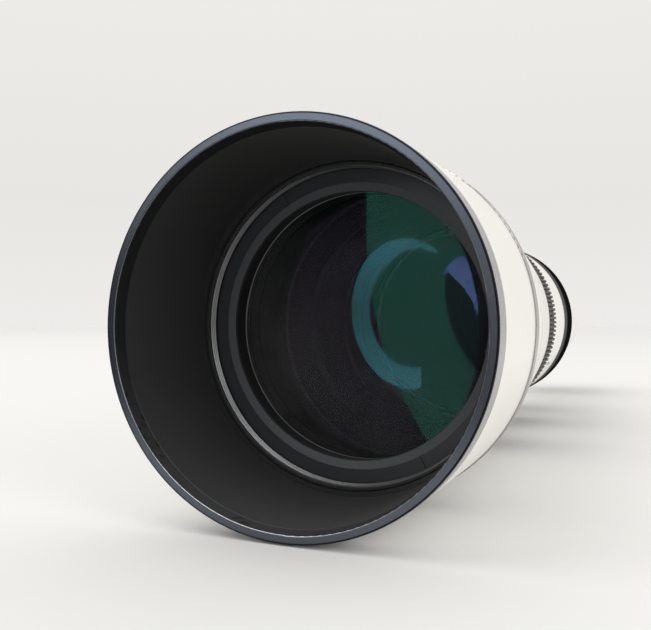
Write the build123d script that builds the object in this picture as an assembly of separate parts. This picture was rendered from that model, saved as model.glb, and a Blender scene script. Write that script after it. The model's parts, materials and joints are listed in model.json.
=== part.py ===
from build123d import *
import math
import os

# White 650-1300 mm telephoto zoom lens, in millimetres.
# The optical axis is Y, the front of the lens faces -Y and +Z is up.
# The origin is the centre of the rear mounting flange.
# Radii are built up from the glass outwards and lengths from the flange forwards.

# Clearances
running = 0.08  # radial gap of a part that slides or turns on another
seat = 0.05  # radial gap of a part that is screwed or dropped into another
end_gap = 0.3  # axial gap between a turning ring and its neighbour
overcut = 1.0  # how far a cutting shape runs past the solid that it cuts

# Rounded edges
edge_round = 0.3
rim_edge_round = 0.15
index_ring_edge_round = 0.2
rear_cap_front_round = 0.4
rear_barrel_back_round = 0.8

# Lengths along the axis, from the flange forwards
mount_thread_length = 5.0
mount_flange_thickness = 4.0
rear_cap_length = 46.0
rear_barrel_length = 64.0
zoom_sleeve_length = 57.4
zoom_scale_length = 21.7
middle_cover_length = 25.0
collar_width = 30.4
index_ring_length = 14.0
focus_sleeve_length = 63.4
focus_scale_length = 31.7
focus_travel = 30.0
focus_front_gap = 0.8
cone_length = 57.5
rear_land_length = 1.8
hood_travel = 41.5
hood_lip_length = 6.0
filter_ring_length = 7.1
filter_thread_length = 4.0
hood_guide_length = 14.8
hood_length = 56.4
hood_front_ring_length = 7.9
hood_front_ring_nose = 4.1
hood_rear_ring_length = 5.1

# Objective glass
glass_radius = 43.0
front_curve = 260.0
front_back_curve = -220.0
front_thickness = 12.0
second_curve = -215.0
second_back_curve = -1500.0
second_thickness = 5.0
spacer_thickness = 0.7
glass_ledge = 1.7
retaining_bore_flare = 0.9
retaining_chamfer_width = 2.4
retaining_chamfer_depth = 0.5
retaining_flange_thickness = 0.5
retaining_ring_length = 8.7
retaining_thread_height = 2.0
slot_width = 0.9
slot_depth = 0.4
slot_angle = -29.3  # from the top towards +X

# Walls of the front end, from the glass outwards
cell_wall = 1.4
cell_lip_width = 2.5
cell_lip_thickness = 1.9
thread_step = 0.55
thread_relief_depth = 0.5
thread_relief_length = 1.0
filter_ring_wall = 1.3
land_height = 0.35
cone_wall = 1.6
barrel_flange_thickness = 2.0
hood_guide_wall = 1.37
lining_thickness = 0.35
hood_rabbet_wall = 1.3
hood_wall = 2.6
hood_rear_ring_step = 0.36
hood_rim_step = 0.2
hood_rim_taper = 0.55
felt_thickness = 0.9
felt_width = 3.0

# Light stops in the cone
stop_thickness = 1.0
forward_stop_setback = 8.0
forward_stop_radius = 37.2
rear_stop_setback = 32.0
rear_stop_radius = 34.2

# Focusing tubes, from the light path outwards
light_path_radius = 32.5
main_tube_wall = 2.3
main_tube_reach = 57.0
helicoid_wall = 1.97
helicoid_flange_thickness = 2.2
helicoid_flange_width = 3.75
helicoid_back_gap = 9.7
focus_sleeve_wall = 1.67
focus_sleeve_step = 1.2
focus_lip_width = 7.2
grip_front_lip = 1.2
grip_front_lip_height = 2.0
focus_rib_base = 1.9
focus_rib_height = 0.9
focus_rib_count = 136
rib_root_share = 0.36  # half widths of a rib as shares of the rib pitch
rib_tip_share = 0.24
barrel_shoulder = 1.3
retainer_thickness = 1.6
retainer_height = 1.7
key_width = 6.0
key_length = 8.0
key_depth = 1.3
key_setback = 1.5
keyway_floor_gap = 0.2
keyway_front_margin = 2.0
keyway_back_margin = 1.0
screw_count = 3
screw_radius = 1.25
screw_head_radius = 1.8
screw_head_height = 1.2
screw_depth = 1.0
screw_hole_depth = 1.5

# Tripod collar
collar_seat_step = 1.4
collar_wall = 4.0
collar_shoulder_round = 2.6
collar_edge_round = 0.8
index_ring_wall = 3.6
boss_radius = 8.0
boss_edge_round = 0.6
boss_reach = 5.7
shoe_radius = 4.0
shoe_thickness = 2.6
shoe_pocket_depth = 4.1
stud_radius = 3.0
stud_length = 14.0
knob_gap = 1.5
knob_radius = 9.0
knob_thickness = 10.0
knob_edge_round = 1.2
knob_lobe_count = 8
knob_lobe_radius = 2.4
foot_width = 20.0
foot_length = 52.0
foot_thickness = 6.0
foot_overhang = 22.3
foot_pad_length = 22.0
foot_pad_height = 3.0
foot_edge_round = 2.0
tripod_hole_radius = 3.175
tripod_hole_setback = 12.0
foot_screw_spacing = 12.0
foot_screw_radius = 2.0
foot_screw_head_radius = 3.6
foot_screw_head_height = 2.4
foot_screw_grip = 3.5
foot_screw_recess = 0.4
foot_hexagon_radius = 1.5
foot_hexagon_depth = 1.4

# Zoom tubes, from the light path outwards
zoom_tube_radius = 26.2
zoom_tube_wall = 1.8
cam_tube_wall = 1.12
cam_gap = 0.1
zoom_scale_wall = 1.3
zoom_grip_step = 0.6
zoom_rib_base = 0.9
zoom_rib_height = 0.7
zoom_rib_count = 104
zoom_angle = 100.0
variator_travel = 22.0
compensator_travel = 11.0
follower_radius = 2.0
follower_count = 3
follower_angle = 90.0
follower_root_height = 1.6
cell_length = 10.0
variator_setback = 6.0  # from the front of the zoom ring to the variator's followers
compensator_setback = 7.4  # from the compensator's followers to the back of the zoom ring
zoom_glass_radius = 21.5
zoom_cell_lip = 1.5
cam_end_setback = 0.7
cam_screw_radius = 1.0
cam_screw_setback = 2.7
cam_screw_recess = 0.2
cam_screw_gap = 0.3
cam_screw_angle = 30.0

# Zooming glass: curves of the three faces of each cemented pair, and its two thicknesses
variator_curves = (-140.0, 62.0, 160.0)
variator_thicknesses = (1.5, 3.4)
compensator_curves = (110.0, -75.0, -240.0)
compensator_thicknesses = (7.0, 2.2)

# Middle and rear covers
middle_cover_front_height = 2.4
middle_cover_back_height = 2.2
cover_wall = 1.6
socket_wall = 3.0
socket_length = 22.0
rear_barrel_wall = 1.7
rear_cap_step = 1.2
rear_cap_flange_radius = 25.2
rear_cap_wall = 3.2
rear_cap_back_wall = 4.8
rear_spigot_length = 12.0
rear_spigot_wall = 2.1
mount_thread_radius = 21.0
mount_bore_radius = 18.5
mount_screw_circle = 23.1
mount_screw_radius = 0.8
mount_screw_head_radius = 1.5
mount_screw_head_height = 1.2
mount_screw_recess = 0.2
mount_screw_depth = 3.0
mount_hole_depth = 3.5
drive_length = 2.0
drive_width = 0.4
drive_depth = 0.4
rear_cell_flange = 4.0
rear_cell_lip = 1.7
rear_cell_wall = 4.2

# Fixed rear glass
rear_front_curve = 70.0
rear_middle_curve = -60.0
rear_back_curve = -190.0
rear_front_thickness = 8.0
rear_back_thickness = 2.5

# Printed marks
ink = 0.05
mark_width = 0.5
mark_length = 7.0
mark_cutter_height = 4.0
index_mark_setback = 1.0
focus_mark_setback = 1.0
focus_mark_angle = 24.0
focus_mark_count = 11
zoom_mark_setback = 5.5
zoom_mark_count = 5

# Stations along the axis
rear_cap_front = -rear_cap_length
rear_barrel_front = rear_cap_front - rear_barrel_length
zoom_sleeve_back = rear_barrel_front - end_gap
zoom_sleeve_front = zoom_sleeve_back - zoom_sleeve_length
middle_cover_back = zoom_sleeve_front - end_gap
middle_cover_front = middle_cover_back - middle_cover_length
collar_back = middle_cover_front - end_gap
collar_front = collar_back - collar_width
index_ring_back = collar_front - end_gap
index_ring_front = index_ring_back - index_ring_length
focus_sleeve_back = index_ring_front - end_gap
focus_sleeve_front = focus_sleeve_back - focus_sleeve_length
barrel_back = focus_sleeve_front - focus_front_gap
cone_front = barrel_back - cone_length
rear_land_front = cone_front - rear_land_length
barrel_front = rear_land_front - hood_travel - hood_lip_length - 2 * end_gap
filter_front = barrel_front - filter_ring_length
thread_back = filter_front + filter_thread_length
cell_front = thread_back + thread_relief_length
hood_back = barrel_front + end_gap + hood_lip_length
hood_front = hood_back - hood_length
guide_front = hood_back - hood_guide_length

# Radii of the front end
cell_bore = glass_radius + seat
cell_thread = glass_radius + retaining_thread_height
cell_outer = cell_thread + cell_wall
barrel_bore = cell_outer + seat
filter_thread_radius = barrel_bore + thread_step
land_radius = filter_thread_radius + filter_ring_wall
barrel_radius = land_radius - land_height
guide_bore = land_radius + running
guide_lip_bore = barrel_radius + running
hood_bore = guide_bore + hood_guide_wall
hood_tube_bore = hood_bore + lining_thickness
hood_rabbet = hood_tube_bore + hood_rabbet_wall
hood_radius = hood_tube_bore + hood_wall
hood_rear_ring_radius = hood_radius + hood_rear_ring_step
hood_rim_radius = hood_radius - hood_rim_step

# Radii of the focusing tubes
main_tube_radius = light_path_radius + main_tube_wall
helicoid_bore = main_tube_radius + running
helicoid_radius = helicoid_bore + helicoid_wall
focus_sleeve_bore = helicoid_radius + running
grip_seat = focus_sleeve_bore + focus_sleeve_wall
focus_sleeve_radius = grip_seat + focus_sleeve_step
focus_grip_radius = grip_seat + focus_rib_base + focus_rib_height
barrel_back_radius = focus_grip_radius + barrel_shoulder
collar_seat_radius = main_tube_radius + collar_seat_step
collar_bore = collar_seat_radius + running
collar_radius = collar_bore + collar_wall
index_ring_radius = collar_seat_radius + index_ring_wall

# Radii of the zoom tubes
zoom_tube_outer = zoom_tube_radius + zoom_tube_wall
cam_bore = zoom_tube_outer + running
cam_radius = cam_bore + cam_tube_wall
zoom_sleeve_bore = cam_radius + cam_gap
zoom_scale_radius = zoom_sleeve_bore + zoom_scale_wall
zoom_grip_seat = zoom_scale_radius + zoom_grip_step
zoom_grip_radius = zoom_grip_seat + zoom_rib_base + zoom_rib_height
rear_barrel_radius = zoom_tube_outer + rear_barrel_wall
zoom_cell_radius = zoom_tube_radius - running
follower_tip = cam_radius - seat
cam_slot_width = 2 * (follower_radius + seat)
variator_station = zoom_sleeve_front + variator_setback
compensator_station = zoom_sleeve_back - compensator_setback
socket_radius = zoom_tube_outer + socket_wall
foot_base = -hood_rear_ring_radius


# Shape helpers
def turned(outline, rounding=()):
    """Solid turned about the optical axis from (radius, y) corners, some of them rounded."""
    face = make_face(Polyline(*outline, close=True))
    for corner, radius in rounding:
        vertex = face.vertices().sort_by_distance(Vertex(*corner, 0))[0]
        face = fillet(vertex, radius)
    return revolve(face, Axis.Y)


def tube(outer, inner, front, back):
    """Plain ring between two radii and two stations."""
    return turned([(inner, front), (outer, front), (outer, back), (inner, back)])


def sag(curve, radius):
    """Depth of a spherical surface at a radius, positive when it curves back towards +Y."""
    return curve - math.copysign(math.sqrt(curve ** 2 - radius ** 2), curve)


def element(vertex, thickness, first_curve, last_curve, rim):
    """Glass element with two spherical faces and a ground rim."""
    half = rim / 2
    last = vertex + thickness
    front_rim = (rim, vertex + sag(first_curve, rim))
    back_rim = (rim, last + sag(last_curve, rim))
    front_face = ThreePointArc((0, vertex), (half, vertex + sag(first_curve, half)), front_rim)
    back_face = ThreePointArc(back_rim, (half, last + sag(last_curve, half)), (0, last))
    outline = [front_face, Line(front_rim, back_rim), back_face, Line((0, last), (0, vertex))]
    return revolve(make_face(outline), Axis.Y)


def round_the_axis(shape, angles):
    """Copies of a shape made at the top, turned by angles from the top towards +X."""
    return [Rot(0, angle, 0) * shape for angle in angles]


def spread(count, first=0.0):
    """Evenly spaced angles round the axis."""
    return [first + 360 / count * index for index in range(count)]


def axial_pin(radius, at_radius, front, back):
    """Cylinder along the axis direction, at the top of a circle."""
    return Pos(0, (front + back) / 2, at_radius) * Rot(90, 0, 0) * Cylinder(radius, back - front)


def radial_pin(radius, station, low, high):
    """Cylinder that points up from one radius to another."""
    return Pos(0, station, (low + high) / 2) * Cylinder(radius, high - low)


def ribbed_ring(bore, root, tip, count, front, back):
    """Rubber ring with straight ribs along the axis."""
    step = 2 * math.pi / count
    corners = []
    for index in range(count):
        for share, radius in ((-rib_root_share, root), (-rib_tip_share, tip),
                              (rib_tip_share, tip), (rib_root_share, root)):
            angle = (index + share) * step
            corners.append((radius * math.sin(angle), radius * math.cos(angle)))
    section = make_face(Polyline(*corners, close=True)) - Circle(bore)
    ring = extrude(section, back - front)
    return Pos(0, back, 0) * Rot(90, 0, 0) * ring


def marks_on(radius, boxes):
    """Printed marks: the part of a thin skin on a cylinder that lies in the boxes."""
    front = min(box.bounding_box().min.Y for box in boxes)
    back = max(box.bounding_box().max.Y for box in boxes)
    skin = tube(radius + ink, radius, front - overcut, back + overcut)
    marks = []
    for box in boxes:
        marks += (skin & box).solids()
    return marks


def mark_box(radius, width, front, back):
    """Box that cuts one mark out of the skin at the top of a cylinder."""
    return Pos(0, (front + back) / 2, radius) * Box(width, back - front, mark_cutter_height)


def save(name, *shapes):
    """Write one node, with each of its pieces as a separate solid."""
    solids = [solid for shape in shapes for solid in shape.solids()]
    export_step(solids[0] if len(solids) == 1 else Compound(solids), f"parts/{name}.step")


# Hood
def hood_tube():
    nose = hood_front + hood_front_ring_nose
    skirt = hood_front + hood_front_ring_length
    step = hood_back - hood_rear_ring_length
    return turned([(hood_tube_bore, nose), (hood_rabbet, nose), (hood_rabbet, skirt),
                   (hood_radius, skirt), (hood_radius, step), (hood_rabbet, step),
                   (hood_rabbet, hood_back), (hood_tube_bore, hood_back)])


def hood_front_ring():
    nose = hood_front + hood_front_ring_nose
    skirt = hood_front + hood_front_ring_length
    rim_inner = (hood_bore + hood_rim_taper, hood_front)
    rim_outer = (hood_rim_radius, hood_front)
    outline = [rim_inner, rim_outer, (hood_radius, hood_front + hood_rim_taper), (hood_radius, skirt),
               (hood_rabbet, skirt), (hood_rabbet, nose), (hood_bore, nose)]
    return turned(outline, [(rim_inner, edge_round), (rim_outer, rim_edge_round)])


def hood_rear_ring():
    front = hood_back - hood_rear_ring_length
    edges = [(hood_rear_ring_radius, front), (hood_rear_ring_radius, hood_back)]
    outline = [(hood_rabbet, front), edges[0], edges[1], (hood_rabbet, hood_back)]
    return turned(outline, [(edge, edge_round) for edge in edges])


def hood_lining():
    return tube(hood_tube_bore, hood_bore, hood_front + hood_front_ring_nose, guide_front)


def hood_guide_ring():
    lip_front = hood_back - hood_lip_length
    felt_front = lip_front + (hood_lip_length - felt_width) / 2
    felt_back = felt_front + felt_width
    groove = guide_lip_bore + felt_thickness
    return turned([(guide_bore, guide_front), (hood_tube_bore, guide_front), (hood_tube_bore, hood_back),
                   (guide_lip_bore, hood_back), (guide_lip_bore, felt_back), (groove, felt_back),
                   (groove, felt_front), (guide_lip_bore, felt_front), (guide_lip_bore, lip_front),
                   (guide_bore, lip_front)])


def hood_felt():
    front = hood_back - (hood_lip_length + felt_width) / 2
    return tube(guide_lip_bore + felt_thickness, barrel_radius + seat, front, front + felt_width)


# Front group
def filter_ring():
    front_edge = (land_radius, filter_front)
    relief = filter_thread_radius + thread_relief_depth
    outline = [(filter_thread_radius, filter_front), front_edge, (land_radius, barrel_front),
               (barrel_bore, barrel_front), (barrel_bore, cell_front), (relief, cell_front),
               (relief, thread_back), (filter_thread_radius, thread_back)]
    return turned(outline, [(front_edge, edge_round)])


ring_face = cell_front - retaining_flange_thickness
ring_back = ring_face + retaining_ring_length
glass_contact = glass_radius - glass_ledge
front_vertex = ring_back - sag(front_curve, glass_contact)
front_rim_back = front_vertex + front_thickness + sag(front_back_curve, glass_radius)
second_vertex = front_rim_back + spacer_thickness - sag(second_curve, glass_radius)
cell_lip_radius = glass_radius - cell_lip_width
cell_lip_front = second_vertex + second_thickness + sag(second_back_curve, cell_lip_radius)
cell_back = cell_lip_front + cell_lip_thickness


def front_retaining_ring():
    bore_front = glass_contact - retaining_bore_flare
    flat_inner = bore_front + retaining_chamfer_width
    ring = turned([(bore_front, ring_face + retaining_chamfer_depth), (flat_inner, ring_face),
                   (filter_thread_radius - running, ring_face),
                   (filter_thread_radius - running, cell_front), (cell_thread - seat, cell_front),
                   (cell_thread - seat, ring_back), (glass_contact, ring_back)])
    slot_length = filter_thread_radius - flat_inner
    slot_middle = filter_thread_radius - slot_length / 2
    slot = Pos(0, ring_face, slot_middle) * Box(slot_width, 2 * slot_depth, slot_length)
    for cutter in round_the_axis(slot, spread(2, slot_angle)):
        ring -= cutter
    return ring


def objective_cell():
    return turned([(cell_thread, cell_front), (cell_outer, cell_front), (cell_outer, cell_back),
                   (cell_lip_radius, cell_back), (cell_lip_radius, cell_lip_front),
                   (cell_bore, cell_lip_front), (cell_bore, ring_back), (cell_thread, ring_back)])


def front_element():
    return element(front_vertex, front_thickness, front_curve, front_back_curve, glass_radius)


def second_element():
    return element(second_vertex, second_thickness, second_curve, second_back_curve, glass_radius)


def element_spacer():
    front_face = front_vertex + front_thickness + sag(front_back_curve, glass_contact)
    back_face = second_vertex + sag(second_curve, glass_radius)
    return tube(glass_radius, glass_contact, front_face, back_face)


def cone_radius(station):
    """Outer radius of the white cone at a station."""
    share = (station - cone_front) / cone_length
    return land_radius + (barrel_back_radius - land_radius) * share


def front_barrel():
    flange_front = barrel_back - barrel_flange_thickness
    bore_end = cone_front + cone_wall
    back_edge = (barrel_back_radius, barrel_back)
    outline = [(barrel_bore, barrel_front), (barrel_radius, barrel_front), (barrel_radius, rear_land_front),
               (land_radius, rear_land_front), (land_radius, cone_front), back_edge,
               (helicoid_radius + seat, barrel_back), (helicoid_radius + seat, flange_front),
               (cone_radius(flange_front) - cone_wall, flange_front), (barrel_bore, bore_end)]
    barrel = turned(outline, [(back_edge, edge_round)])
    for hole in helicoid_screw_holes():
        barrel -= hole
    return barrel


def light_stop(station, radius):
    """Thin baffle whose edge follows the inside of the cone."""
    back = station + stop_thickness
    bore_end = cone_front + cone_wall
    flange_front = barrel_back - barrel_flange_thickness
    slope = (cone_radius(flange_front) - cone_wall - barrel_bore) / (flange_front - bore_end)
    edge_front = barrel_bore + slope * (station - bore_end)
    edge_back = barrel_bore + slope * (back - bore_end)
    return turned([(radius, station), (edge_front, station), (edge_back, back), (radius, back)])


helicoid_flange_back = barrel_back - barrel_flange_thickness
helicoid_flange_front = helicoid_flange_back - helicoid_flange_thickness
helicoid_back = index_ring_front - helicoid_back_gap
helicoid_screw_circle = helicoid_radius + helicoid_flange_width / 2
key_front = helicoid_back - key_setback - key_length


def helicoid_screw_holes():
    hole = axial_pin(screw_radius + seat, helicoid_screw_circle, helicoid_flange_front - overcut,
                     helicoid_flange_back + screw_hole_depth)
    return round_the_axis(hole, spread(screw_count))


def helicoid_tube():
    flange_radius = helicoid_radius + helicoid_flange_width
    shape = turned([(helicoid_bore, helicoid_flange_front), (flange_radius, helicoid_flange_front),
                    (flange_radius, helicoid_flange_back), (helicoid_radius, helicoid_flange_back),
                    (helicoid_radius, helicoid_back), (helicoid_bore, helicoid_back)])
    for hole in helicoid_screw_holes():
        shape -= hole
    cutter = Box(key_width, key_length, 3 * helicoid_wall)
    window = Pos(0, key_front + key_length / 2, helicoid_radius) * cutter
    for opening in round_the_axis(window, spread(2, 90)):
        shape -= opening
    return shape


def helicoid_screws():
    head = axial_pin(screw_head_radius, helicoid_screw_circle, helicoid_flange_front - screw_head_height,
                     helicoid_flange_front)
    shank = axial_pin(screw_radius, helicoid_screw_circle, helicoid_flange_front,
                      helicoid_flange_back + screw_depth)
    return round_the_axis(head + shank, spread(screw_count))


def guide_keys():
    low = main_tube_radius - key_depth + keyway_floor_gap
    high = helicoid_radius - keyway_floor_gap
    key = Pos(0, key_front + key_length / 2, (low + high) / 2) * Box(key_width, key_length, high - low)
    return round_the_axis(key, spread(2, 90))


# Focusing ring
grip_back = focus_sleeve_back - focus_scale_length
grip_front = focus_sleeve_front + grip_front_lip


def focus_sleeve():
    lip_front = focus_sleeve_back - focus_lip_width
    front_lip_radius = grip_seat + grip_front_lip_height
    front_edge = (front_lip_radius, focus_sleeve_front)
    outline = [(focus_sleeve_bore, focus_sleeve_front), front_edge, (front_lip_radius, grip_front),
               (grip_seat, grip_front), (grip_seat, grip_back), (focus_sleeve_radius, grip_back),
               (focus_sleeve_radius, focus_sleeve_back), (main_tube_radius + running, focus_sleeve_back),
               (main_tube_radius + running, lip_front), (focus_sleeve_bore, lip_front)]
    return turned(outline, [(front_edge, edge_round)])


def focus_grip():
    return ribbed_ring(grip_seat, focus_grip_radius - focus_rib_height, focus_grip_radius, focus_rib_count,
                       grip_front, grip_back)


def focus_scale():
    back = focus_sleeve_back - focus_mark_setback
    mark = mark_box(focus_sleeve_radius, mark_width, back - mark_length / 2, back)
    angles = [-focus_mark_angle * index for index in range(focus_mark_count)]
    return marks_on(focus_sleeve_radius, round_the_axis(mark, angles))


# Fixed body
retainer_back = focus_sleeve_back - focus_lip_width - end_gap
socket_front = middle_cover_back - socket_length


def main_tube():
    front = index_ring_front - main_tube_reach
    seat_back = socket_front + cover_wall
    funnel = socket_front - (light_path_radius - zoom_tube_outer)
    shape = turned([(light_path_radius, front), (main_tube_radius, front),
                    (main_tube_radius, index_ring_front), (collar_seat_radius, index_ring_front),
                    (collar_seat_radius, seat_back),
                    (socket_radius, seat_back), (socket_radius, middle_cover_back),
                    (zoom_tube_outer, middle_cover_back), (zoom_tube_outer, socket_front),
                    (light_path_radius, funnel)])
    keyway_front = key_front - focus_travel - keyway_front_margin
    keyway_back = key_front + key_length + keyway_back_margin
    cutter = Box(key_width + running, keyway_back - keyway_front, 2 * key_depth)
    keyway = Pos(0, (keyway_front + keyway_back) / 2, main_tube_radius) * cutter
    for groove in round_the_axis(keyway, spread(2, 90)):
        shape -= groove
    return shape


def focus_retaining_ring():
    retainer_front = retainer_back - retainer_thickness
    return tube(main_tube_radius + retainer_height, main_tube_radius, retainer_front, retainer_back)


def index_ring():
    edges = [(index_ring_radius, index_ring_front), (index_ring_radius, index_ring_back)]
    outline = [(collar_seat_radius, index_ring_front), edges[0], edges[1],
               (collar_seat_radius, index_ring_back)]
    return turned(outline, [(edge, index_ring_edge_round) for edge in edges])


def index_marks():
    marks = []
    for radius, front in ((index_ring_radius, index_ring_front), (rear_barrel_radius, rear_barrel_front)):
        start = front + index_mark_setback
        marks += marks_on(radius, [mark_box(radius, mark_width, start, start + mark_length)])
    return marks


def middle_cover():
    front_radius = collar_seat_radius + middle_cover_front_height
    back_radius = socket_radius + middle_cover_back_height
    slope = (back_radius - front_radius) / middle_cover_length
    seat_back = socket_front + cover_wall
    wall_front = middle_cover_back - cover_wall
    front_edge = (front_radius, middle_cover_front)
    back_edge = (back_radius, middle_cover_back)
    inner_back = front_radius + slope * (wall_front - middle_cover_front) - cover_wall
    outline = [(collar_seat_radius, middle_cover_front), front_edge, back_edge,
               (socket_radius, middle_cover_back), (socket_radius, wall_front), (inner_back, wall_front),
               (collar_seat_radius, seat_back)]
    return turned(outline, [(front_edge, edge_round), (back_edge, edge_round)])


def straight_slot():
    """Slot along the axis for both sets of followers, with round ends."""
    first = variator_station
    last = compensator_station
    half = cam_slot_width / 2
    low = zoom_tube_radius - overcut
    high = zoom_tube_outer + overcut
    middle = Pos(0, (first + last) / 2, (low + high) / 2) * Box(cam_slot_width, last - first, high - low)
    return middle + radial_pin(half, first, low, high) + radial_pin(half, last, low, high)


def zoom_tube():
    shape = tube(zoom_tube_outer, zoom_tube_radius, socket_front, rear_cap_front)
    for cutter in round_the_axis(straight_slot(), spread(follower_count, follower_angle)):
        shape -= cutter
    return shape


def rear_barrel():
    edges = [(rear_barrel_radius, rear_barrel_front), (rear_barrel_radius, rear_cap_front)]
    outline = [(zoom_tube_outer, rear_barrel_front), edges[0], edges[1], (zoom_tube_outer, rear_cap_front)]
    return turned(outline, [(edges[0], edge_round), (edges[1], rear_barrel_back_round)])


mount_ring_front = -mount_flange_thickness
rear_spigot_radius = zoom_tube_radius - seat
rear_cell_radius = rear_spigot_radius - rear_spigot_wall
rear_spigot_front = rear_cap_front - rear_spigot_length
rear_cell_front = rear_spigot_front - rear_cell_flange


def rear_cap():
    front_radius = rear_barrel_radius - rear_cap_step
    back_wall = mount_ring_front - rear_cap_back_wall
    front_edge = (front_radius, rear_cap_front)
    outline = [(rear_cell_radius, rear_spigot_front), (rear_spigot_radius, rear_spigot_front),
               (rear_spigot_radius, rear_cap_front), front_edge, (rear_cap_flange_radius, mount_ring_front),
               (mount_bore_radius, mount_ring_front), (mount_bore_radius, back_wall),
               (rear_cap_flange_radius - rear_cap_wall, back_wall), (rear_cell_radius, rear_cap_front)]
    cap = turned(outline, [(front_edge, rear_cap_front_round)])
    for hole in mount_screw_holes():
        cap -= hole
    return cap


def mount_screw_holes():
    hole_front = mount_ring_front - mount_hole_depth
    head_front = -mount_screw_head_height - mount_screw_recess
    hole = axial_pin(mount_screw_radius + seat, mount_screw_circle, hole_front, overcut)
    head = axial_pin(mount_screw_head_radius + seat, mount_screw_circle, head_front, overcut)
    return round_the_axis(hole + head, spread(screw_count))


def mount_ring():
    edge = (rear_cap_flange_radius, 0)
    thread_end = (mount_thread_radius, mount_thread_length)
    outline = [(mount_bore_radius, mount_ring_front), (rear_cap_flange_radius, mount_ring_front), edge,
               (mount_thread_radius, 0), thread_end, (mount_bore_radius, mount_thread_length)]
    ring = turned(outline, [(edge, edge_round)])
    for hole in mount_screw_holes():
        ring -= hole
    return ring


def mount_screws():
    top = -mount_screw_recess
    head_front = top - mount_screw_head_height
    tip = mount_ring_front - mount_screw_depth
    head = axial_pin(mount_screw_head_radius, mount_screw_circle, head_front, top)
    shank = axial_pin(mount_screw_radius, mount_screw_circle, tip, head_front)
    drive = Pos(0, top, mount_screw_circle) * Box(drive_length, 2 * drive_depth, drive_width)
    cross = Pos(0, top, mount_screw_circle) * Box(drive_width, 2 * drive_depth, drive_length)
    return round_the_axis(head + shank - drive - cross, spread(screw_count))


# Rear lens group
rear_glass_seat = rear_cell_radius - rear_cell_wall
rear_lip = rear_glass_seat - rear_cell_lip
rear_glass_rim = rear_glass_seat - seat
rear_vertex = rear_cell_front + rear_cell_lip - sag(rear_front_curve, rear_lip)
rear_joint = rear_vertex + rear_front_thickness
rear_last = rear_joint + rear_back_thickness
rear_retainer_front = rear_last + sag(rear_back_curve, rear_lip)


def rear_lens_cell():
    lip_back = rear_cell_front + rear_cell_lip
    return turned([(rear_lip, rear_cell_front), (rear_spigot_radius, rear_cell_front),
                   (rear_spigot_radius, rear_spigot_front), (rear_cell_radius - seat, rear_spigot_front),
                   (rear_cell_radius - seat, rear_cap_front), (rear_glass_seat, rear_cap_front),
                   (rear_glass_seat, lip_back), (rear_lip, lip_back)])


def rear_group_front_element():
    return element(rear_vertex, rear_front_thickness, rear_front_curve, rear_middle_curve, rear_glass_rim)


def rear_group_back_element():
    return element(rear_joint, rear_back_thickness, rear_middle_curve, rear_back_curve, rear_glass_rim)


def rear_retaining_ring():
    return tube(rear_glass_rim, rear_lip, rear_retainer_front, rear_retainer_front + retainer_thickness)


# Tripod collar
collar_middle = (collar_front + collar_back) / 2
boss_face = collar_radius + boss_reach
pad_low = collar_radius + foot_pad_height
foot_front = collar_front - foot_overhang
foot_back = foot_front + foot_length


def tripod_collar():
    front_edge = (collar_radius, collar_front)
    back_edge = (collar_radius, collar_back)
    outline = [(collar_bore, collar_front), front_edge, back_edge, (collar_bore, collar_back)]
    ring = turned(outline, [(front_edge, collar_shoulder_round), (back_edge, collar_edge_round)])
    boss = radial_pin(boss_radius, collar_middle, collar_bore + overcut, boss_face)
    boss = fillet(boss.edges().group_by(Axis.Z)[-1], boss_edge_round)
    pad_high = collar_bore + overcut
    pad = Box(foot_width, foot_pad_length, pad_low - pad_high)
    pad = Pos(0, collar_middle, -(pad_low + pad_high) / 2) * pad
    pad = fillet(pad.edges().filter_by(Axis.Z), foot_edge_round)
    ring += Rot(0, -90, 0) * boss
    ring += pad
    bore = tube(collar_bore, 0, collar_front - overcut, collar_back + overcut)
    pocket_depth = collar_bore + shoe_pocket_depth
    pocket = radial_pin(shoe_radius + running, collar_middle, collar_bore - overcut, pocket_depth)
    thread = radial_pin(stud_radius + seat, collar_middle, collar_bore, boss_face + overcut)
    ring = ring - bore - Rot(0, -90, 0) * (pocket + thread)
    for screw in foot_screw_shapes(seat):
        ring -= screw
    return ring


def foot_screw_shapes(gap):
    """The two foot screws, or with a gap the holes that they pass through."""
    shapes = []
    head_low = foot_base - overcut if gap else foot_base + foot_screw_recess
    head_top = foot_base + foot_screw_recess + foot_screw_head_height
    tip = -(pad_low - foot_screw_grip)
    for side in (-1, 1):
        station = collar_middle + side * foot_screw_spacing / 2
        head = radial_pin(foot_screw_head_radius + gap, station, head_low, head_top)
        shank = radial_pin(foot_screw_radius + gap, station, head_top, tip)
        shapes.append(head + shank)
    return shapes


def foot_screws():
    screws = []
    hexagon = extrude(RegularPolygon(foot_hexagon_radius, 6), foot_hexagon_depth)
    for screw in foot_screw_shapes(0):
        station = screw.bounding_box().center().Y
        screws.append(screw - Pos(0, station, foot_base + foot_screw_recess) * hexagon)
    return screws


def collar_foot():
    plate_top = foot_base + foot_thickness
    plate = Box(foot_width, foot_length, foot_thickness)
    plate = Pos(0, (foot_front + foot_back) / 2, foot_base + foot_thickness / 2) * plate
    foot = fillet(plate.edges().filter_by(Axis.Z), foot_edge_round)
    post_height = -pad_low - plate_top
    if post_height > 0:
        post = Box(foot_width, foot_pad_length, post_height)
        post = Pos(0, collar_middle, plate_top + post_height / 2) * post
        foot += fillet(post.edges().filter_by(Axis.Z), foot_edge_round)
    foot -= radial_pin(tripod_hole_radius, foot_front + tripod_hole_setback, foot_base - overcut,
                       plate_top + overcut)
    for screw in foot_screw_shapes(seat):
        foot -= screw
    return foot


shoe_back = collar_bore + shoe_thickness


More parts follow.
